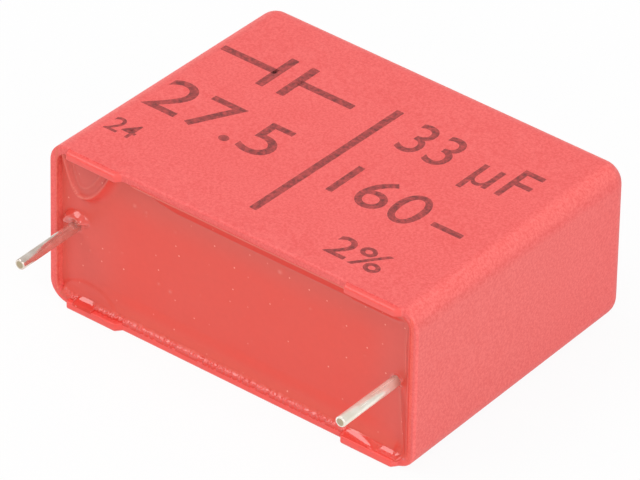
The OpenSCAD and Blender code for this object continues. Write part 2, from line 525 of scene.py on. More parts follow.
# %% Small rules for soft shapes, all in millimetres
def bell(value, centre, half_width):
    """One at the centre, fading evenly to both sides."""
    return math.exp(-((value - centre) / half_width) ** 2)


def wave(x, y, size, seed):
    """A fixed uneven wave about as long as size, the same in every run."""
    return noise.noise(Vector((x / size, y / size, seed)))


def climb(distance, reach, rise, power):
    """A wetted edge: full rise at the wall, level beyond its reach, sharper with more power."""
    share = min(max(1.0 - distance / reach, 0.0), 1.0)
    return rise * share ** power


def profile(distance, points):
    """Height at a distance from the wall, read off (distance, height) points."""
    if distance <= points[0][0]:
        return points[0][1]
    for (near, high), (far, low) in zip(points, points[1:]):
        if distance <= far:
            return high + (low - high) * (distance - near) / (far - near)
    return points[-1][1]


# %% [markdown]
# ### Where the resin climbs
#
# Liquid resin wets the walls and creeps up them before it sets, far up the right, upper and
# lower walls and hardly up the left one. The climb could be sculpted by hand, but a curve of
# height over distance from the wall gives the same edge all along it and stays easy to change.

# %% The climb up the left, right and upper walls
HALF_X = skin_high.x / mm
LOW_Z = skin_low.z / mm
HIGH_Z = skin_high.z / mm
FULL_CLIMB = 0.64
FOOT_BLUR = 0.2


def foot_share(x, start, stop):
    """One behind a foot that runs from start to stop, nothing beside it."""
    past_start = soft_step(x, start - FOOT_BLUR, start + FOOT_BLUR)
    return past_start * (1.0 - soft_step(x, stop - FOOT_BLUR, stop + FOOT_BLUR))


def right_reach(z):
    """How far from the right wall the resin starts to climb, most just below the wire."""
    below_wire = soft_step(z, 1.0, 5.6) * soft_step(z, 7.2, 6.2)
    return 0.62 + 0.42 * below_wire + 0.06 * wave(z, 0.0, 2.0, 4.4)


def plain_climbs(x, z):
    """Distance, reach, rise and power of the climb at the left, right and upper wall."""
    past_left_foot = soft_step(x, -9.6, -8.4)
    by_right_foot = foot_share(x, 9.8, 14.6)
    upper_reach = 0.35 + 0.75 * soft_step(x, -9.4, -4.5) + 0.1 * by_right_foot
    return (
        (x + HALF_X, 0.2, 0.03, 1.5),
        (HALF_X - x, right_reach(z), FULL_CLIMB, 1.05),
        (HIGH_Z - z, upper_reach, 0.04 + 0.6 * past_left_foot, 1.15))


print("reach from the right wall:", round(right_reach(5.0), 2), "mm")


# %% [markdown]
# ### The laced lip and the pockets
#
# Along the lower wall the film ended in a thin lip, which tiny runs laced with beads. At the
# lower feet it hung down in pockets with flat facets, and these mirror the lamps as clean
# shapes. The lace is the same curve as before, shifted and stretched by two fixed waves. Each
# pocket is a slope between two edges, because only one steepness sends the light to the eye.

# %% The laced edge at the lower wall
# each edge is given as (distance from the wall, height) points
LOWER_EDGE = (
    (0.0, FULL_CLIMB), (0.21, 0.6), (0.3, 0.45), (0.43, 0.32), (0.9, 0.17), (1.9, 0.0))
FOOT_EDGE = (
    (0.0, 0.9), (0.03, 0.9), (0.19, 0.42), (0.3, 0.33), (0.9, 0.17), (1.9, 0.0))
LACE_FROM = 0.31
CORNER_X = (-14.5, -14.1)  # the lace dies out between these, towards the left corner
LEFT_FOOT_X = -12.68
LEFT_FOOT_HALVES = (0.85, 0.7)


def lower_climb(x, distance):
    """A slow swell, a small crease, and a thin bright lip that is laced by tiny runs."""
    shift = 0.07 * wave(x, 0.0, 0.34, 3.1) + 0.05 * wave(x, 0.0, 0.15, 8.7)
    shift *= soft_step(x, *CORNER_X)
    stretch = 1.0 + 0.4 * wave(x, 0.0, 0.2, 5.5)
    height = profile(distance - shift * soft_step(distance, 0.6, 0.3), LOWER_EDGE)
    if height > LACE_FROM:
        height = min(LACE_FROM + (height - LACE_FROM) * stretch, FULL_CLIMB)
    by_pocket = max(
        soft_step(abs(x - LEFT_FOOT_X), *LEFT_FOOT_HALVES),
        soft_step(x, 9.7, 9.9) * soft_step(x, 14.7, 14.5))
    return height + (profile(distance, FOOT_EDGE) - height) * by_pocket


print("lip at the lower wall:", round(lower_climb(0.0, 0.0), 2), "mm high")


# %% The pockets at the two lower feet
POCKET_SLOPE = 1.6
POCKET_STEEP = 2.9
POCKET_TOP = 1.0
LEFT_POCKET_X = -12.52
POCKETS = (
    # middle, half length, top of the facet, its skew, its bottom, height at the wall
    (LEFT_POCKET_X, 0.82, 0.48, 0.0, 0.3, 1.02),
    (11.2, 1.42, 0.3, 0.6, 0.16, 0.95),
    (13.45, 0.66, 0.29, 0.0, 0.1, 0.8),
    (14.26, 0.17, 0.3, 0.0, 0.08, 0.8))


def pocket_crest(x, pocket):
    """How high the facet of one pocket reaches at x, nothing beside it."""
    middle, half_length, top, skew = pocket[:4]
    off = (x - middle) / half_length
    if abs(off) >= 1.0:
        return 0.0
    return top * math.sqrt(1.0 - off * off) * (1.0 - skew * off)


def pocket_foot(x, pocket):
    """Where the facet of one pocket ends below, at x."""
    middle, half_length, _, skew, bottom = pocket[:5]
    return min(bottom * (1.0 - 0.9 * skew * (x - middle) / half_length), pocket_crest(x, pocket))


def pocket_relief(x, distance):
    """Flat shining facets of resin that hang on the inside of the lower feet."""
    relief = 0.0
    for pocket in POCKETS:
        crest = pocket_crest(x, pocket)
        if crest > 0.0:
            at_wall = pocket[5]
            foot = pocket_foot(x, pocket)
            if distance > crest:
                height = at_wall - POCKET_SLOPE * crest - POCKET_STEEP * (distance - crest)
            elif distance > foot:
                height = at_wall - POCKET_SLOPE * distance
            else:
                height = at_wall - POCKET_SLOPE * foot + POCKET_STEEP * (foot - distance)
            relief = max(relief, min(height, POCKET_TOP))
    return relief


def climb_relief(x, z, wall):
    """Climb up the nearest walls, blended where two walls meet, and deeper in the pockets."""
    near = max(wall, 0.0)
    low = max(z - LOW_Z, 0.0)
    climbs = [
        (distance, climb(near, reach, rise, power))
        for distance, reach, rise, power in plain_climbs(x, z)]
    climbs.append((low, lower_climb(x, near)))
    total = 0.0
    shares = 0.0
    for distance, height in climbs:
        share = 1.0 / (max(distance, 0.0) + 0.06) ** 3
        total += share * height
        shares += share
    return max(total / shares, pocket_relief(x, low))


print("pockets:", [round(pocket_crest(pocket[0], pocket), 2) for pocket in POCKETS], "mm deep")

# %% [markdown]
# ### Collars, tongue and dust
#
# Resin also creeps up each wire in a ring, and a drop stayed as a mound on the left one. A
# tongue of it ran up to the upper left foot and set with a sharp ridge. The flat skin has slow
# waves and caught a few specks of dust. Each is a small rule of its own, so that it can be
# moved or left out without touching the rest.

# %% The collars round the wires
WIRE_X = 13.75
WIRE_Z = 6.5
WIRE_R = 0.4
COLLARS = (
    # side, rise of the mound, rise of the ring, reach of the ring
    (-1.0, 0.52, 0.06, 0.3),
    (1.0, 0.0, 0.12, 0.25))


def collar_relief(x, z):
    """A mound of resin on the upper side of the left wire, and a thin ring round each wire."""
    relief = 0.0
    for side, mound_rise, ring_rise, ring_reach in COLLARS:
        across, up = x - side * WIRE_X, z - WIRE_Z
        out = math.hypot(across, up)
        if out < WIRE_R + 1.2:
            off_wire = out - WIRE_R
            lean = (up - 0.27 * across) / max(out, 0.01)
            upper = soft_step(lean, -0.05, 0.52)
            outer = min(max((0.86 - off_wire) / 0.34, 0.0), 1.0)
            inner = 0.6 + 0.4 * soft_step(off_wire, 0.0, 0.42)
            relief += upper * mound_rise * outer * inner
            relief += climb(off_wire, ring_reach, ring_rise, 1.8)
    return relief


print("mound on the left wire:", round(collar_relief(-WIRE_X, WIRE_Z + 2 * WIRE_R), 2), "mm")


# %% The tongue at the upper left foot
TONGUE_X = -13.25
TONGUE_LOW_Z = 9.22
TONGUE_WIDTHS = (0.76, 2.4)  # of the parabola's left and right half
INNER_ARC = -0.72


def tongue_off(x, z):
    """How far a point lies outside the tongue's edge, less than nothing inside it."""
    across = x - TONGUE_X
    width = TONGUE_WIDTHS[1] if across > 0.0 else TONGUE_WIDTHS[0]
    level = across * across / width - (z - TONGUE_LOW_Z)
    return level / math.hypot(1.0, 2.0 * across / width)


def tongue_relief(x, z):
    """The lobe that ran up to the foot: a sharp ridge, a shallow dish and a faint inner arc."""
    off = tongue_off(x, z)
    flank = 0.42 + 0.3 * soft_step(x, -12.6, -11.1)
    outer = soft_step(off, flank, 0.04)
    inner = soft_step(off, 0.04, -0.3)
    arc = 0.08 * bell(off, INNER_ARC, 0.13) * soft_step(z, 9.4, 10.2)
    return outer * (0.42 - 0.24 * inner) + arc


def tongue_tints(x, z):
    """Shares of painted shade outside the tongue, painted highlight on its edge and grey resin
    within.
    """
    off = tongue_off(x, z)
    near = soft_step(z, 8.2, 8.8)
    right = soft_step(x, -13.6, -12.6)
    deep_shade = soft_step(off, 0.3 + 0.5 * right, 0.16) * soft_step(off, 0.0, 0.1)
    low = bell(math.hypot(x + 13.4, z - 9.35), 0.0, 0.9)
    # painted highlight along the tongue's ridge and its inner arc
    pale = (0.35 + 0.5 * low) * bell(off, -0.02, 0.055)
    pale += 0.25 * bell(off, INNER_ARC, 0.07) * soft_step(z, 9.4, 10.2)
    grey = soft_step(off, 0.0, -0.2)
    return deep_shade * near * (0.4 + 0.6 * right), min(pale * near, 1.0), grey


print("tongue at its tip:", round(tongue_relief(TONGUE_X, TONGUE_LOW_Z), 2), "mm")


# %% Slow waves, creases and dust
def corner_arc(x, z):
    """Distance from the middle of the lower left corner's swell, one at its edge."""
    return math.hypot((x + 12.6) / 2.6, (z - 0.4) / 1.75)


def ripple_relief(x, z):
    """Slow waves of the set skin, and the low swell that the pour left in one corner."""
    slow = 0.03 * (1.0 + wave(x, z, 5.0, 1.3)) + 0.008 * (1.0 + wave(x, z, 1.6, 2.2))
    return slow + 0.07 * soft_step(corner_arc(x, z), 1.08, 0.92)


# each speck as (x, z, size)
DUST = (
    (-8.7, 10.4, 0.1), (-7.7, 10.3, 0.07), (-7.72, 10.0, 0.05), (-5.2, 9.8, 0.06),
    (3.8, 10.7, 0.12), (-12.6, 4.9, 0.06), (-10.9, 5.5, 0.05), (-9.8, 6.0, 0.06),
    (-6.6, 4.9, 0.08), (-5.6, 4.7, 0.1), (6.4, 8.9, 0.07), (9.2, 8.7, 0.06),
    (-12.9, 5.9, 0.05), (-3.0, 5.6, 0.05), (11.0, 7.2, 0.05), (1.4, 3.9, 0.05))


def dust_share(x, z, spread):
    """One on a speck of dust that the resin caught while it set, nothing beside it."""
    share = 0.0
    for place_x, place_z, size in DUST:
        if abs(x - place_x) < 0.4 and abs(z - place_z) < 0.4:
            off = math.hypot(x - place_x, z - place_z)
            share = max(share, 10.0 * size * bell(off, 0.0, spread * size))
    return min(share, 1.0)


print("specks of dust:", len(DUST))


# %% Paint the relief as weights and press it into the sheet
# each relief has the height that a full weight stands for, and its rule
RELIEFS = {
    "climb": (1.05, climb_relief),
    "collars": (1.0, lambda x, z, wall: collar_relief(x, z)),
    "tongue": (0.6, lambda x, z, wall: tongue_relief(x, z)),
    "ripples": (0.2, lambda x, z, wall: ripple_relief(x, z)),
    "dust": (0.1, lambda x, z, wall: 0.08 * dust_share(x, z, 1.1)),
}

for relief_name, (relief_top, relief_rule) in RELIEFS.items():
    group = resin.vertex_groups.new(name=relief_name)
    for point in resin.data.vertices:
        x, z = point.co.x / mm, point.co.z / mm
        height = relief_rule(x, z, wall_distance(point.co) / mm)
        if height > 0.0:
            group.add([point.index], min(height / relief_top, 1.0), "REPLACE")

for relief_name, (relief_top, _) in RELIEFS.items():
    apply_modifier(
        resin, "DISPLACE", direction="Y", mid_level=0.0, strength=-relief_top * mm,
        vertex_group=relief_name)
resin.vertex_groups.clear()
print("relief pressed:", ", ".join(RELIEFS))

# %% [markdown]
# ### From a sheet to a casting
#
# The sheet is drawn back into a closed block and trimmed to the cavity with a Boolean, so the
# casting fills the box and meets its walls all round. The wound element and the wires leave
# their own hollows in it, as they do in a real casting.

# %% Close the block behind the skin
CASTING_DEPTH = 24.0 * mm

start_editing(resin)
bpy.ops.mesh.select_all(action="SELECT")
bpy.ops.mesh.region_to_loop()
bpy.ops.mesh.extrude_edges_move(TRANSFORM_OT_translate={"value": (0.0, CASTING_DEPTH, 0.0)})
bpy.ops.mesh.edge_face_add()
bpy.ops.mesh.select_all(action="SELECT")
bpy.ops.mesh.normals_make_consistent(inside=False)
stop_editing()
print("closed block:", len(resin.data.polygons), "faces")

# %% A core the size of the cavity, flared where the rim is rounded
CORE_OUT = 0.5 * mm
FLARE_Y = RIM_Y + RIM_INNER_ROUND
FLARE_STEP = 0.02 * mm

core_low, core_high = cavity_corners(FEET_Y - CORE_OUT)
core = drafted_block(
    "core", core_low, core_high, *cavity_corners(FLOOR_Y), SKIN_RADIUS, CORE_RADIUS)

start_editing(core)
for ring_y in (FLARE_Y, FLARE_Y - FLARE_STEP):
    bpy.ops.mesh.select_all(action="SELECT")
    cut_chosen("Y", ring_y)
pick_points(core, lambda point: point.y < FLARE_Y - FLARE_STEP / 2)
flare = 2 * RIM_INNER_ROUND
bpy.ops.transform.resize(
    value=(1.0 + flare / (core_high.x - core_low.x), 1.0,
           1.0 + flare / (core_high.z - core_low.z)),
    center_override=(0.0, 0.0, (core_low.z + core_high.z) / 2))
stop_editing()
print("core:", len(core.data.polygons), "faces")


# %% Trim the casting with the core
def trim(piece, tool, operation):
    """Combine a piece with a tool body, then throw the tool away."""
    apply_modifier(piece, "BOOLEAN", operation=operation, solver="EXACT", object=tool)
    choose(tool)
    bpy.ops.object.delete()


trim(resin, core, "INTERSECT")
print("casting trimmed:", len(resin.data.polygons), "faces")

# %% [markdown]
# ## The wires
#
# Each lead is a drawn copper wire with a coat of tin, cut off square by a blade. Past the
# resin's skin it runs out into a flat tab that is welded to the zinc. A fine cylinder is cut
# into lengths, its buried end is pressed flat by scaling whole rings, and its free end gets
# the small bevel of the cutter.

# %% Model the two wires
LEAD_X = WIRE_X * mm
LEAD_Z = WIRE_Z * mm
LEAD_RADIUS = WIRE_R * mm
WIRE_SIDES = 48
TIP_Y = LEAD_LOW.y
TAB_END_Y = LEAD_HIGH.y
ROUND_END_Y = FEET_Y + 0.5 * mm
FLAT_START_Y = ROUND_END_Y + 1.8 * mm
TIP_BEVEL = 0.06 * mm
HALF_PRESSED = (0.86, 1.12)  # how much the press squeezes the wire and spreads it
PRESSED = (0.6875, 1.275)
TAB_SHIFT = 0.125 * mm


def make_wire(name, x):
    """One wire at x, round outside the resin and pressed to a flat tab inside it."""
    side = 1.0 if x > 0 else -1.0
    length = TAB_END_Y - TIP_Y
    bpy.ops.object.select_all(action="DESELECT")
    bpy.ops.mesh.primitive_cylinder_add(
        vertices=WIRE_SIDES, radius=LEAD_RADIUS, depth=length,
        location=(x, (TIP_Y + TAB_END_Y) / 2, LEAD_Z), rotation=(math.radians(90.0), 0.0, 0.0))
    wire = bpy.context.object
    wire.name = name
    wire.data.name = name
    bpy.ops.object.transform_apply(location=True, rotation=True, scale=True)
    start_editing(wire)
    half_way_y = (ROUND_END_Y + FLAT_START_Y) / 2
    for cut_y in (ROUND_END_Y, half_way_y, FLAT_START_Y):
        bpy.ops.mesh.select_all(action="SELECT")
        cut_chosen("Y", cut_y)
    for ring_y, (squeeze, spread) in (
            (half_way_y, HALF_PRESSED), (FLAT_START_Y, PRESSED), (TAB_END_Y, PRESSED)):
        pick_points(wire, lambda point: abs(point.y - ring_y) < TINY)
        bpy.ops.transform.resize(
            value=(squeeze, 1.0, spread), center_override=(x, ring_y, LEAD_Z))
    for ring_y in (FLAT_START_Y, TAB_END_Y):
        pick_points(wire, lambda point: abs(point.y - ring_y) < TINY)
        bpy.ops.transform.translate(value=(-side * TAB_SHIFT, 0.0, 0.0))
    pick_edges(wire, lambda a, b: max(a.y, b.y) < TIP_Y + TINY)
    round_chosen(TIP_BEVEL, 3)
    stop_editing()
    bpy.ops.object.shade_smooth_by_angle(angle=math.radians(50.0))
    return wire


wire_left = make_wire("wire_left", -LEAD_X)
wire_right = make_wire("wire_right", LEAD_X)
print("wires:", len(wire_left.data.polygons), "faces each")

# %% [markdown]
# ### The hollows in the casting
#
# Resin flowed round the wound element and the wires, so each of them has left its own hollow.
# The element's hollow is cut with a plain block, the wires' with copies of the wires.

# %% Hollow the casting
INSIDE_NODES = ("film_winding", "wrap_film", "end_spray_left", "end_spray_right")
inside_boxes = [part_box(name) for name in INSIDE_NODES]
inside_low = Vector([min(low[axis] for low, _ in inside_boxes) for axis in range(3)])
inside_high = Vector([max(high[axis] for _, high in inside_boxes) for axis in range(3)])
trim(resin, add_block("element_core", inside_low, inside_high), "DIFFERENCE")
for wire in (wire_left, wire_right):
    choose(wire)
    bpy.ops.object.duplicate()
    trim(resin, bpy.context.object, "DIFFERENCE")
choose(resin)
bpy.ops.object.shade_smooth_by_angle(angle=math.radians(60.0))
print("casting:", len(resin.data.polygons), "faces")

# %% [markdown]
# ### Where the skin shines, and its painted shade and highlights
#
# The resin that climbed is a thin glossy film over the red plastic, so it looks wetter than the
# dull flat skin. Shade and reflected red are painted on as a deeper red where it climbs, in
# creases and outside the tongue, and highlights as a paler red on ridges and ledges, where the
# specks of dust are pale too. Each point of the mesh remembers how wet, how shaded and how pale
# it is, and the finish reads these three shares from one colour attribute.

# %% Note where the skin is wet, and where shade and highlights are painted on it
WET_AT = 0.1
LEFT_POCKET_HALVES = (0.85, 0.7)
RIGHT_POCKETS = (9.9, 14.5)
LACE_STARTS_X = (-13.95, -13.45)
LACE_HEIGHTS = (0.34, 0.24)
RIGHT_WALL_X = (13.7, 14.2)
UPPER_WALL_Z = (11.0, 11.2)
LEDGE_DEPTHS = (0.06, 0.0)
LEDGE_STARTS_X = (-9.0, -8.0)


def wet_share(low, climbed, collar, by_foot, in_pocket, foot):
    """One on the lace, on a collar and on a pocket's facet, nothing on the flat skin."""
    lace = soft_step(climbed * (1.0 - by_foot), 0.0, WET_AT)
    lace *= 0.3 + 0.7 * soft_step(low, 0.04, 0.16)
    facet = by_foot * in_pocket * soft_step(low, foot - 0.07, foot - 0.02)
    return max(lace, soft_step(collar, 0.0, WET_AT), facet)


def skin_shares(point):
    """Wet, shade and pale shares of one point, and how grey it is inside the tongue; shade is
    painted shade, pale is painted highlight and dust.
    """
    x, z = point.x / mm, point.z / mm
    low = z - LOW_Z
    climbed = climb_relief(x, z, wall_distance(point) / mm)
    collar = collar_relief(x, z)
    by_lower = soft_step(x, *LACE_STARTS_X) * soft_step(low, *LACE_HEIGHTS)
    by_right = soft_step(x, *RIGHT_WALL_X)
    by_upper = max(soft_step(z, *UPPER_WALL_Z), by_right)

    by_foot = max(
        soft_step(abs(x - LEFT_POCKET_X), *LEFT_POCKET_HALVES), foot_share(x, *RIGHT_POCKETS))
    crest = max(pocket_crest(x, pocket) for pocket in POCKETS)
    foot = max(pocket_foot(x, pocket) for pocket in POCKETS)
    in_pocket = soft_step(low, crest + 0.06, crest + 0.01) * soft_step(crest, 0.0, 0.1)
    wet = wet_share(low, climbed * by_lower, collar, by_foot, in_pocket, foot)

    shade_edge, highlight_edge, grey = tongue_tints(x, z)
    # painted highlight: just under the upper wall the skin is painted paler, without painted
    # shade
    ledge = soft_step(HIGH_Z - z, *LEDGE_DEPTHS) * soft_step(x, *LEDGE_STARTS_X)
    ledge *= 1.0 - by_right
    # painted shade and reflected red where the skin climbs the lower, upper and right walls
    deep_shade = soft_step(climbed * max(by_lower, by_upper), 0.02, 0.12)
    deep_shade *= (1.0 - 0.7 * by_right * (1.0 - by_lower)) * (1.0 - ledge)
    deep_shade *= 1.0 - 0.7 * by_foot * by_lower * (1.0 - in_pocket)
    # painted shade: the crease round the lower left corner's swell, the collars and the tongue's
    # outer flank
    arc = 0.3 * bell(corner_arc(x, z), 1.0, 0.06) * soft_step(x, -11.8, -12.8)
    deep_shade = max(deep_shade, 0.12 * soft_step(collar, 0.0, WET_AT), 0.9 * shade_edge, arc)

    # painted highlight: a pale line just beyond where the climb up the right wall starts; the
    # specks of dust are pale as well
    line = 0.16 * bell(HALF_X - x, right_reach(z) + 0.06, 0.12) * soft_step(x, 13.0, 13.5)
    pale = max(highlight_edge, 0.3 * ledge, line, 0.7 * dust_share(x, z, 1.2))
    return wet, deep_shade, pale, grey


shine = resin.data.color_attributes.new(name="shine", type="FLOAT_COLOR", domain="POINT")
shine_values = []
for point in resin.data.vertices:
    shine_values += skin_shares(point.co)
shine.data.foreach_set("color", shine_values)
print("wet points:", sum(1 for value in shine_values[::4] if value > 0.5))

# %% [markdown]
# ## The print
#
# The ratings are pad-printed in dark red ink that stands a hundredth of a millimetre proud.
# They are generic: plain numbers, units and the standard sign for a capacitor. Each word
# starts as a text object, is made a mesh, fitted to its place and tilted to lie on the
# drafted face. The sign and the rule are strokes cut from blocks with bevelled corners.

# %% Fit text to the printed face
INK = 0.014 * mm
STROKE_CORNER = 0.08 * mm
CAPITAL_HEIGHT = 0.69  # of a text object one unit in size
PRINT_TILT = math.atan(2 * DRAFT)


def printed_height(y):
    """Height of the printed face at y."""
    return MOUTH_HIGH.z - 2 * DRAFT * (y - RIM_Y)


def lay_on_face(piece):
    """Tilt a flat piece at z = 0 on to the printed face."""
    start_editing(piece)
    bpy.ops.mesh.select_all(action="SELECT")
    bpy.ops.transform.rotate(
        value=PRINT_TILT, orient_axis="X", orient_type="GLOBAL",
        center_override=(0.0, 0.0, 0.0))
    bpy.ops.transform.translate(value=(0.0, 0.0, printed_height(0.0)))
    stop_editing()


def print_text(name, words, left, right, bottom, top, bold=0.0):
    """Print words between left and right, with capitals from bottom to top, in millimetres."""
    bpy.ops.object.select_all(action="DESELECT")
    bpy.ops.object.text_add()
    text = bpy.context.object
    text.name = name
    text.data.body = words
    text.data.size = 1.0
    text.data.offset = bold
    text.data.extrude = 0.5
    text.data.resolution_u = 6
    bpy.ops.object.convert(target="MESH")
    piece = bpy.context.object
    piece.data.name = name
    xs = [point.co.x for point in piece.data.vertices]
    start_editing(piece)
    bpy.ops.mesh.select_all(action="SELECT")
    bpy.ops.mesh.remove_doubles(threshold=1e-4)
    bpy.ops.transform.translate(value=(-min(xs), 0.0, 0.0))
    bpy.ops.transform.resize(
        value=((right - left) * mm / (max(xs) - min(xs)), (top - bottom) * mm / CAPITAL_HEIGHT,
               INK),
        center_override=(0.0, 0.0, 0.0))
    bpy.ops.transform.translate(value=(left * mm, bottom * mm, 0.0))
    bpy.ops.mesh.select_all(action="SELECT")
    bpy.ops.mesh.normals_make_consistent(inside=False)
    stop_editing()
    lay_on_face(piece)
    return piece


def print_stroke(name, start, stop, width):
    """One straight stroke of ink between two places, in millimetres."""
    along = Vector((stop[0] - start[0], stop[1] - start[1], 0.0)) * mm
    middle = Vector(((start[0] + stop[0]) / 2, (start[1] + stop[1]) / 2, 0.0)) * mm
    half = Vector((width * mm / 2, along.length / 2, INK / 2))
    stroke = add_block(name, -half, half)
    start_editing(stroke)
    pick_edges(stroke, lambda a, b: abs(a.z - b.z) > INK / 2)
    round_chosen(STROKE_CORNER, 3)
    bpy.ops.mesh.select_all(action="SELECT")
    angle = math.atan2(along.y, along.x) - math.radians(90.0)
    bpy.ops.transform.rotate(
        value=-angle, orient_axis="Z", orient_type="GLOBAL", center_override=(0.0, 0.0, 0.0))
    bpy.ops.transform.translate(value=middle)
    stop_editing()
    lay_on_face(stroke)
    return stroke


print("the print is tilted by", round(math.degrees(PRINT_TILT), 2), "degrees")


# %% Print the sign, the numbers and the rule
prints = [
    print_stroke("sign_lead_left", (-14.1, 4.95), (-9.3, 4.95), 0.6),
    print_stroke("sign_plate_left", (-9.3, 2.9), (-9.3, 7.0), 0.65),
    print_stroke("sign_plate_right", (-7.5, 2.9), (-7.5, 7.0), 0.65),
    print_stroke("sign_lead_right", (-7.5, 4.95), (-2.7, 4.95), 0.6),
    print_stroke("rule", (0.05, 6.7), (-0.2, -9.0), 0.6),
    print_stroke("dash", (9.9, -2.5), (12.4, -2.5), 0.5),
    print_text("pitch", "27.5", -14.0, -3.4, -4.0, 0.0),
    print_text("size_code", "24", -14.0, -11.7, -8.0, -6.3, bold=0.006),
    print_text("value", "33 µF", 2.2, 12.5, 3.0, 6.7),
    print_text("voltage", "160", 2.0, 9.0, -4.0, -0.3),
    print_text("tolerance", "2%", 6.3, 10.7, -9.7, -7.4, bold=0.008),
]
print("prints:", ", ".join(piece.name for piece in prints))

# %% [markdown]
# ## Materials
#
# Every finish is built from nodes on Object coordinates, which are metres here, so a scale
# of 1000 gives one noise cell per millimetre. One helper adds and joins nodes in any tree, and
# a second one builds on it for materials. They keep each recipe short enough to read.

# %% Helpers for nodes
class Tree:
    """A node tree, with short ways to add and join nodes."""

    def __init__(self, owner):
        owner.use_nodes = True
        self.tree = owner.node_tree

    def add(self, kind, **settings):
        """A new node. A setting goes to the input of that name, or else to the node itself."""
        node = self.tree.nodes.new(kind)
        for key, value in settings.items():
            if key.replace("_", " ") in node.inputs:
                node.inputs[key.replace("_", " ")].default_value = value
            else:
                setattr(node, key, value)
        return node

    def join(self, source, node, socket):
        """Lead an output to a node's socket."""
        self.tree.links.new(source, node.inputs[socket])

    def math(self, operation, first, second):
        """One sum of two values or outputs."""
        node = self.add("ShaderNodeMath", operation=operation)
        for index, value in enumerate((first, second)):
            if isinstance(value, float):
                node.inputs[index].default_value = value
            else:
                self.join(value, node, index)
        return node.outputs["Value"]

    def both(self, first, second):
        """The product of two shares."""
        return self.math("MULTIPLY", first, second)

    def range(self, source, low, high, to_low, to_high, kind="LINEAR"):
        """Lead the span from low to high to another span, and hold it beyond."""
        node = self.add("ShaderNodeMapRange", interpolation_type=kind)
        for key, value in (("From Min", low), ("From Max", high),
                           ("To Min", to_low), ("To Max", to_high)):
            node.inputs[key].default_value = value
        self.join(source, node, "Value")
        return node.outputs["Result"]

    def step(self, source, start, stop):
        """A smooth step from 0 at start to 1 at stop."""
        if stop > start:
            return self.range(source, start, stop, 0.0, 1.0, "SMOOTHSTEP")
        return self.range(source, stop, start, 1.0, 0.0, "SMOOTHSTEP")

    def mix_shaders(self, share, first, second, end):
        """Mix two shaders and lead the result to the tree's end."""
        mix = self.add("ShaderNodeMixShader")
        self.join(share, mix, "Fac")
        self.join(first, mix, 1)
        self.join(second, mix, 2)
        self.join(mix.outputs["Shader"], self.tree.nodes[end], "Surface")


class Recipe(Tree):
    """A material with its main shader, and the usual textures on Object coordinates."""

    def __init__(self, name):
        self.material = bpy.data.materials.new(name)
        super().__init__(self.material)
        self.shader = self.tree.nodes["Principled BSDF"]
        self.place = self.add("ShaderNodeTexCoord").outputs["Object"]

    def noise(self, cells_per_mm, detail=2.0, roughness=0.5, stretch=None):
        """A cloudy texture with so many cells to the millimetre."""
        texture = self.add(
            "ShaderNodeTexNoise", Scale=cells_per_mm * 1000.0, Detail=detail, Roughness=roughness)
        place = self.place
        if stretch:
            mapping = self.add("ShaderNodeMapping", Scale=stretch)
            self.join(place, mapping, "Vector")
            place = mapping.outputs["Vector"]
        self.join(place, texture, "Vector")
        return texture.outputs["Fac"]

    def ramp(self, source, stops):
        """Colours at places between 0 and 1, blended between them."""
        ramp = self.add("ShaderNodeValToRGB")
        elements = ramp.color_ramp.elements
        while len(elements) < len(stops):
            elements.new(0.5)
        for element, (position, color) in zip(elements, stops):
            element.position = position
            element.color = (*color, 1.0)
        self.join(source, ramp, "Fac")
        return ramp.outputs["Color"]

    def axis(self, name):
        """One of the object's own coordinates, X, Y or Z, in metres."""
        if not hasattr(self, "split"):
            self.split = self.add("ShaderNodeSeparateXYZ")
            self.join(self.place, self.split, "Vector")
        return self.split.outputs[name]

    def blend(self, share, first, second, kind="MIX"):
        """Mix two colours, or multiply the first by the second."""
        node = self.add("ShaderNodeMixRGB", blend_type=kind)
        for key, value in (("Fac", share), ("Color1", first), ("Color2", second)):
            if isinstance(value, float):
                node.inputs[key].default_value = value
            elif isinstance(value, tuple):
                node.inputs[key].default_value = (*value, 1.0)
            else:
                self.join(value, node, key)
        return node.outputs["Color"]

    def bump(self, source, depth_mm, under=None):
        """Relief of a depth in millimetres, on top of another one where under is given."""
        node = self.add("ShaderNodeBump", Strength=1.0, Distance=depth_mm * mm)
        self.join(source, node, "Height")
        if under:
            self.join(under, node, "Normal")
        return node.outputs["Normal"]

    def set(self, **values):
        """Set the shader's own inputs, or lead outputs to them."""
        for key, value in values.items():
            name = key.replace("_", " ")
            if isinstance(value, bpy.types.NodeSocket):
                self.join(value, self.shader, name)
            else:
                self.shader.inputs[name].default_value = value

    def report(self):
        """Print how large the recipe is."""
        print(self.material.name, "has", len(self.tree.nodes), "nodes")


def finish(piece, material):
    """Give a piece one material."""
    piece.data.materials.clear()
    piece.data.materials.append(material)


# %% [markdown]
# ### Matt moulded plastic
#
# The box's skin is slightly grained by its mould. One fine noise makes that grain, in the
# colour, in the roughness and, with still finer pores, in the bump. A slow noise lets the
# pigment drift a little. Light and shade are painted on as reds of their own, each kept to a
# band of places along X and down from the rim: a painted sheen on the narrow sides, painted
# light and shade on the rim's faces, on its left rounding and on the left inner wall, and a
# painted highlight on the rounded edges.

# %% Matt red plastic
# painted sheen: the narrow sides are a paler red, standing in for the white surroundings that
# they reflect
SIDE_SHEEN_RED = (0.9, 0.169, 0.153)
# painted light and shade: the left inner wall and the rim's front faces are painted lighter, the
# rounding inside the left rim darker
INNER_WALL_LIT_RED = (0.94, 0.195, 0.155)
LEFT_FACE_LIT_RED = (0.96, 0.152, 0.135)
LEFT_RIM_SHADED_RED = (0.86, 0.16, 0.12)
RIGHT_RIM_LIT_RED = (0.95, 0.142, 0.106)
# painted highlight on the rounded upper edges and on the rim's right outer edge
EDGE_HIGHLIGHT_RED = (0.985, 0.193, 0.176)
NARROW_SIDES = (0.01545, 0.01565)
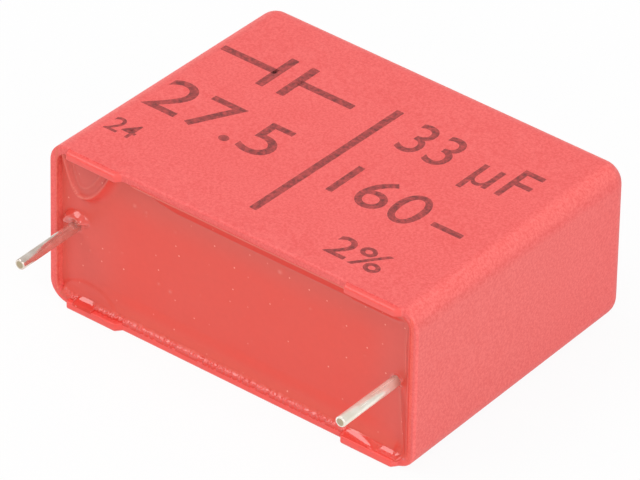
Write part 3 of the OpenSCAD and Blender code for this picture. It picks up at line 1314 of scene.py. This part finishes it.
# each band along X: where it starts, where it is full, where it last is full, where it ends
LEFT_INNER_BAND = (-0.0152, -0.01513, -0.01495, -0.0149)
LEFT_FACE_BAND = (-0.0156, -0.0155, -0.01527, -0.01522)
LEFT_ROUND_BAND = (-0.01522, -0.01515, -0.01495, -0.0149)
RIGHT_FACE_BAND = (0.01508, 0.01516, 0.0154, 0.0155)

plastic = Recipe("matt_red_plastic")
plastic_drift = plastic.noise(0.35, detail=3.0)
plastic_grain = plastic.noise(5.2, detail=4.0, roughness=0.8)
plastic_pores = plastic.noise(11.0, detail=2.0)
plastic_color = plastic.ramp(
    plastic_drift, [(0.3, (0.895, 0.143, 0.133)), (0.7, (0.915, 0.157, 0.147))])


def near_rim(start_mm, full_mm):
    """One at the rim, nothing deeper in the box than start."""
    return plastic.step(plastic.axis("Y"), RIM_Y + start_mm * mm, RIM_Y + full_mm * mm)


def band(start, full, last, stop):
    """One between full and last along X, fading to nothing at start and stop."""
    return plastic.both(
        plastic.step(plastic.axis("X"), start, full), plastic.step(plastic.axis("X"), stop, last))


side_x = plastic.math("ABSOLUTE", plastic.axis("X"), 0.0)
on_rim_face = near_rim(0.12, 0.04)
on_rim_edge = near_rim(0.28, 0.14)
for share, color in (
        (plastic.step(side_x, *NARROW_SIDES), SIDE_SHEEN_RED),
        (band(*LEFT_INNER_BAND), INNER_WALL_LIT_RED),
        (plastic.both(on_rim_face, band(*LEFT_FACE_BAND)), LEFT_FACE_LIT_RED),
        (plastic.both(on_rim_edge, band(*LEFT_ROUND_BAND)), LEFT_RIM_SHADED_RED),
        (plastic.both(on_rim_face, band(*RIGHT_FACE_BAND)), RIGHT_RIM_LIT_RED),
        (plastic.add("ShaderNodeAttribute", attribute_name="edge_highlight").outputs["Fac"], EDGE_HIGHLIGHT_RED)):
    plastic_color = plastic.blend(share, plastic_color, color)
plastic_color = plastic.blend(
    1.0, plastic_color,
    plastic.ramp(plastic_grain, [(0.4, (0.9, 0.58, 0.58)), (0.6, (1.0, 1.0, 1.0))]), "MULTIPLY")
plastic_rough = plastic.range(plastic_grain, 0.3, 0.7, 0.46, 0.6)

# %% Polished feet with painted shade, and the rim that the resin wetted
# the upper feet are polished, and painted a deeper red as shade and reflected red
FOOT_SHADE_RED = (0.895, 0.102, 0.088)
WET_RED = (0.93, 0.095, 0.076)
SMOOTH_ROUGHNESS = 0.3
UPPER_HALF = (0.006, 0.008)
LOWEST_WALL = (0.0009, 0.0006)

feet_polish_and_shade = plastic.both(
    near_rim(-0.02, -0.1), plastic.step(plastic.axis("Z"), *UPPER_HALF))
wet_edge = plastic.both(near_rim(0.6, 0.4), plastic.step(plastic.axis("Z"), *LOWEST_WALL))
wet_patches = plastic.step(plastic.noise(1.6, detail=3.0, roughness=0.65), 0.38, 0.5)
wet_edge = plastic.both(wet_edge, plastic.range(wet_patches, 0.0, 1.0, 0.35, 1.0))
smooth_parts = plastic.math("MAXIMUM", feet_polish_and_shade, wet_edge)
plastic_color = plastic.blend(feet_polish_and_shade, plastic_color, FOOT_SHADE_RED)
plastic_relief = plastic.blend(0.35, plastic_grain, plastic_pores)
plastic_relief = plastic.blend(smooth_parts, plastic_relief, (0.5, 0.5, 0.5))
plastic.set(
    Base_Color=plastic.blend(wet_edge, plastic_color, WET_RED),
    Roughness=plastic.blend(smooth_parts, plastic_rough, (SMOOTH_ROUGHNESS,) * 3),
    Normal=plastic.bump(plastic_relief, 0.03))
plastic.report()

# %% [markdown]
# ### Cast resin
#
# Set resin has no even colour: a slow cloud runs through it, and it is painted duller and
# greyer towards the walls, where near the upper and left walls the darker red is painted shade
# of the rims. The red is blended zone by zone along Z and X. Fine dust is cheapest as a Voronoi
# texture, where a few cells get a pale middle. The shares that the mesh remembers then make the
# climbed resin wet, with a clear coat, and paint its shade and highlights.

# %% Cast red resin
# duller, greyer reds towards the walls; near the upper and left walls the darkening is painted
# shade of the rims
RESIN_TONE_AND_SHADE_ZONES = (
    # axis, where the zone starts and where it is full, in metres, and its red
    ("Z", 0.0088, 0.0114, (0.74, 0.092, 0.066)),
    ("X", 0.0105, 0.0140, (0.77, 0.096, 0.072)),
    ("Z", 0.0022, 0.0012, (0.775, 0.1, 0.069)),
    ("X", -0.0085, -0.013, (0.765, 0.09, 0.065)),
    ("X", -0.0143, -0.0149, (0.76, 0.125, 0.093)))

resin_look = Recipe("cast_red_resin")
resin_drift = resin_look.noise(0.14, detail=3.0)
resin_cloud = resin_look.noise(0.6, detail=2.0)
resin_fine = resin_look.noise(2.5, detail=3.0)
resin_color = resin_look.ramp(
    resin_drift, [(0.3, (0.8, 0.078, 0.052)), (0.7, (0.82, 0.072, 0.047))])
for axis, start, full, color in RESIN_TONE_AND_SHADE_ZONES:
    zone = resin_look.step(resin_look.axis(axis), start, full)
    resin_color = resin_look.blend(zone, resin_color, color)
resin_color = resin_look.blend(
    1.0, resin_color,
    resin_look.ramp(resin_fine, [(0.2, (0.97, 0.95, 0.95)), (0.8, (1.0, 1.0, 1.0))]), "MULTIPLY")

# %% Fine dust that settled on the resin
DUST_CELLS = 620.0  # to the metre
DUST_SIZES = (0.052, 0.02)
DUSTY_CELLS = (0.42, 1.05)

upright = resin_look.add("ShaderNodeMapping", Rotation=(math.radians(90.0), 0.0, 0.0))
resin_look.join(resin_look.place, upright, "Vector")
dust_cells = resin_look.add("ShaderNodeTexVoronoi", voronoi_dimensions="2D")
dust_cells.inputs["Scale"].default_value = DUST_CELLS
resin_look.join(upright.outputs["Vector"], dust_cells, "Vector")
dust_parts = resin_look.add("ShaderNodeSeparateColor")
resin_look.join(dust_cells.outputs["Color"], dust_parts, "Color")
dust = resin_look.both(
    resin_look.step(dust_cells.outputs["Distance"], *DUST_SIZES),
    resin_look.step(dust_parts.outputs["Red"], *DUSTY_CELLS))

# %% Wet where it climbs, dull where it lies flat
# painted shade and reflected red where the skin climbs and in creases
SHADED_RESIN = (0.8, 0.066, 0.048)
# painted highlight, and the pale specks of dust
PALE_HIGHLIGHT_AND_DUST_RESIN = (0.86, 0.22, 0.17)
GREY_RESIN = (0.69, 0.092, 0.07)
DUST_RESIN = (0.95, 0.36, 0.3)

WET_ROUGHNESS = 0.08

shares = resin_look.add("ShaderNodeAttribute", attribute_name="shine")
parts = resin_look.add("ShaderNodeSeparateColor")
resin_look.join(shares.outputs["Color"], parts, "Color")
wet, deep_shade, pale = (parts.outputs[name] for name in ("Red", "Green", "Blue"))
for share, color in (
        (shares.outputs["Alpha"], GREY_RESIN), (deep_shade, SHADED_RESIN), (pale, PALE_HIGHLIGHT_AND_DUST_RESIN),
        (dust, DUST_RESIN)):
    resin_color = resin_look.blend(share, resin_color, color)
dull = resin_look.range(resin_cloud, 0.2, 0.8, 0.33, 0.39)
sheen = resin_look.math(
    "MAXIMUM", resin_look.range(deep_shade, 0.0, 1.0, 0.5, 0.08), resin_look.both(wet, 0.5))
resin_look.set(
    Base_Color=resin_color, Coat_Weight=wet, Coat_Roughness=0.05, Specular_IOR_Level=sheen,
    Roughness=resin_look.blend(wet, dull, (WET_ROUGHNESS,) * 3),
    Normal=resin_look.bump(resin_fine, 0.005))
resin_look.report()

# %% [markdown]
# ### Tinned wire and ink
#
# Tin on a drawn wire is neither a mirror nor paint. It has fine lines along the wire and slow
# ripples from the dipping, shade is painted on at its root inside the mouth, and the blade has
# bared the core at its end. Both wires are the same tin, and their colours are painted
# reflections of the different surroundings that each sees, so one recipe makes both, one darker
# and brighter in its reflections, one paler and duller. The ink is dark red and covers unevenly,
# so one noise sets both its colour and its relief.

# %% Tinned wire
CUT_CORE = (0.46, 0.38, 0.25)
ROOT_SHADE = (0.42, 0.27, 0.22)
ROOT_BAND = (-0.0119, -0.0111)
ROOT_SHARE = 0.5
CUT_DEPTHS = (0.03 * mm, 0.012 * mm)
CORE_RADII = (0.31 * mm, 0.25 * mm)


def tin_finish(name, dark, light, metal, rough):
    """Drawn and tinned wire, with fine ripples along it and a bare core at its cut end."""
    tin = Recipe(name)
    ripples = tin.noise(1.3, detail=2.0, roughness=0.6, stretch=(1.0, 8.0, 1.0))
    lines = tin.noise(6.0, detail=2.0, stretch=(1.0, 0.05, 1.0))
    stain = tin.noise(1.1, detail=3.0)
    color = tin.ramp(stain, [(0.35, dark), (0.65, light)])
    off_x = tin.math("SUBTRACT", tin.math("ABSOLUTE", tin.axis("X"), 0.0), LEAD_X)
    off_z = tin.math("SUBTRACT", tin.axis("Z"), LEAD_Z)
    off = tin.math("ADD", tin.both(off_x, off_x), tin.both(off_z, off_z))
    cut = tin.both(
        tin.step(tin.axis("Y"), *(TIP_Y + depth for depth in CUT_DEPTHS)),
        tin.step(off, *(radius ** 2 for radius in CORE_RADII)))
    # painted shade at the wire's root, where it enters the mouth
    root = tin.both(tin.step(tin.axis("Y"), *ROOT_BAND), ROOT_SHARE)
    color = tin.blend(root, color, ROOT_SHADE)
    tin.set(
        Base_Color=tin.blend(cut, color, CUT_CORE), Metallic=metal,
        Roughness=tin.range(lines, 0.3, 0.7, rough - 0.06, rough + 0.08),
        Normal=tin.bump(ripples, 0.006, under=tin.bump(lines, 0.0025)))
    tin.report()
    return tin


# one tin in two colours: each wire's colour is a painted reflection of the surroundings it sees
tin_left = tin_finish("tin_warm_painted_reflection", (0.74, 0.62, 0.54), (0.9, 0.82, 0.74), 0.85, 0.1)
tin_right = tin_finish("tin_pale_painted_reflection", (0.86, 0.8, 0.68), (0.96, 0.93, 0.85), 0.52, 0.22)

# %% Dark red ink
def grained_finish(name, grain, stops, depth_mm, **surface):
    """A finish whose colour and relief both follow one noise."""
    recipe = Recipe(name)
    cells, settings = grain
    cover = recipe.noise(cells, **settings)
    recipe.set(
        Base_Color=recipe.ramp(cover, stops), Normal=recipe.bump(cover, depth_mm), **surface)
    recipe.report()
    return recipe


ink = grained_finish(
    "dark_red_ink", (3.0, {"detail": 4.0, "roughness": 0.7}),
    [(0.36, (0.185, 0.026, 0.025)), (0.64, (0.52, 0.061, 0.058))], 0.006, Roughness=0.55)

# %% [markdown]
# ### The parts inside
#
# Nothing of these shows while the box is closed, but each has the finish that it has in real
# capacitors: the winding's ends show the bright edges of the metallised film in fine layers,
# the cover film is amber and smooth, and the sprayed zinc is grey and gritty.

# %% Finishes of the parts inside
metallised = grained_finish(
    "metallised_film_edge", (9.0, {"detail": 2.0, "stretch": (0.05, 1.0, 1.0)}),
    [(0.35, (0.5, 0.51, 0.53)), (0.65, (0.7, 0.71, 0.73))], 0.01, Metallic=1.0, Roughness=0.35)
cover = grained_finish(
    "amber_cover_film", (0.6, {"detail": 3.0}),
    [(0.3, (0.62, 0.42, 0.16)), (0.7, (0.72, 0.52, 0.24))], 0.02, Roughness=0.25)
zinc = grained_finish(
    "sprayed_zinc", (5.0, {"detail": 5.0, "roughness": 0.7}),
    [(0.3, (0.34, 0.34, 0.35)), (0.7, (0.56, 0.56, 0.57))], 0.05, Metallic=0.8, Roughness=0.6)

for node_name, recipe in (
        ("film_winding", metallised), ("wrap_film", cover),
        ("end_spray_left", zinc), ("end_spray_right", zinc)):
    finish(bpy.data.objects[node_name], recipe.material)

# %% [markdown]
# ### Dressing the part
#
# Each new piece gets its finish and rides on the part's one body. The box, the resin and the
# two wires stand in for the exact solids of the same things, and the ink is added to them.

# %% Give every new piece its finish and its body
finish(box, plastic.material)
finish(resin, resin_look.material)
finish(wire_left, tin_left.material)
finish(wire_right, tin_right.material)
for piece in prints:
    finish(piece, ink.material)
for piece in [box, resin, wire_left, wire_right] + prints:
    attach(piece, "root")
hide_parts("case")
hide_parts("resin_seal")
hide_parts("lead_left")
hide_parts("lead_right")
print("dressed with", 4 + len(prints), "pieces")

# %% [markdown]
# ## Floor, world and lamps
#
# The setting is a white table in a light tent. The floor is a plain white plane a hair below
# the part. Where the camera or a reflection sees it, most of it glows white, so that it needs
# no strong lamp. The rest is ordinary white paint, which keeps the part's soft shadow.

# %% Floor
FLOOR_DROP = 0.02 * mm
FLOOR_GLOW = 0.93
WHITE = (1.0, 1.0, 1.0, 1.0)

bpy.ops.object.select_all(action="DESELECT")
bpy.ops.mesh.primitive_plane_add(size=3.0, location=(0.0, 0.0, -FLOOR_DROP))
floor = bpy.context.object
floor.name = "floor"

paper = Recipe("white_floor")
paper.set(Roughness=0.9, Base_Color=(0.85, 0.85, 0.85, 1.0))
paths = paper.add("ShaderNodeLightPath")
glow = paper.add("ShaderNodeEmission", Color=WHITE, Strength=1.0)
seen = paper.math("MAXIMUM", paths.outputs["Is Camera Ray"], paths.outputs["Is Glossy Ray"])
paper.mix_shaders(
    paper.both(seen, FLOOR_GLOW), paper.shader.outputs["BSDF"], glow.outputs["Emission"],
    "Material Output")
finish(floor, paper.material)
print("floor is", floor.dimensions.x, "m wide")

# %% [markdown]
# The world is the tent's even light. A tent has an opening in front of the table, low down,
# where less light comes from, and that keeps the resin's dull skin from going pale. The camera
# sees the tent as plain white.

# %% World
WORLD_LIGHT = 0.62
OPENING_LIGHT = 0.25
OPENING_WAY = Vector((-0.45, -0.88, 0.12)).normalized()
OPENING_EDGE = (0.72, 0.95)  # cosines of the angle from the opening's middle

world = bpy.data.worlds.new("studio")
bpy.context.scene.world = world
tent = Tree(world)
sky = tent.tree.nodes["Background"]
sky.inputs["Color"].default_value = WHITE
plain_white = tent.add("ShaderNodeBackground", Color=WHITE, Strength=1.0)
sky_way = tent.add("ShaderNodeTexCoord")
toward = tent.add("ShaderNodeVectorMath", operation="DOT_PRODUCT")
toward.inputs[1].default_value = OPENING_WAY
tent.join(sky_way.outputs["Generated"], toward, 0)
tent.join(
    tent.range(toward.outputs["Value"], *OPENING_EDGE, WORLD_LIGHT, OPENING_LIGHT, "SMOOTHSTEP"),
    sky, "Strength")
sky_paths = tent.add("ShaderNodeLightPath")
seen = tent.math(
    "MAXIMUM", sky_paths.outputs["Is Camera Ray"], sky_paths.outputs["Is Transmission Ray"])
tent.mix_shaders(
    seen, sky.outputs["Background"], plain_white.outputs["Background"], "World Output")
print("light of the tent:", WORLD_LIGHT, "and at its opening:", OPENING_LIGHT)

# %% [markdown]
# Three softboxes stand round the table: the key light high on the left, the front light before
# the mouth, and the side light on the right by the narrow side. Each is told how bright its face
# is, so that its size can change and the look of its reflection stays.

# %% Lamps
LAMP_AIM = Vector((0.0, 0.0, 0.006))


def softbox(name, place, width, height, radiance):
    """A lamp aimed at the part, as bright per area as radiance says."""
    place = Vector(place)
    bpy.ops.object.select_all(action="DESELECT")
    bpy.ops.object.light_add(type="AREA", location=place)
    lamp = bpy.context.object
    lamp.name = name
    lamp.data.shape = "RECTANGLE"
    lamp.data.size = width
    lamp.data.size_y = height
    lamp.data.energy = radiance * math.pi * width * height * math.pi / 4.0
    lamp.rotation_mode = "QUATERNION"
    lamp.rotation_quaternion = (LAMP_AIM - place).to_track_quat("-Z", "Y")


softbox("key_light", (-0.45, -0.25, 0.85), 1.15, 0.5, 3.1)
softbox("front_light", (0.3, -0.9, 0.35), 0.4, 0.4, 3.8)
softbox("side_light", (0.85, -0.15, 0.55), 0.7, 0.7, 2.5)

# the plain view keeps the colours as they were mixed
bpy.context.scene.view_settings.view_transform = "Standard"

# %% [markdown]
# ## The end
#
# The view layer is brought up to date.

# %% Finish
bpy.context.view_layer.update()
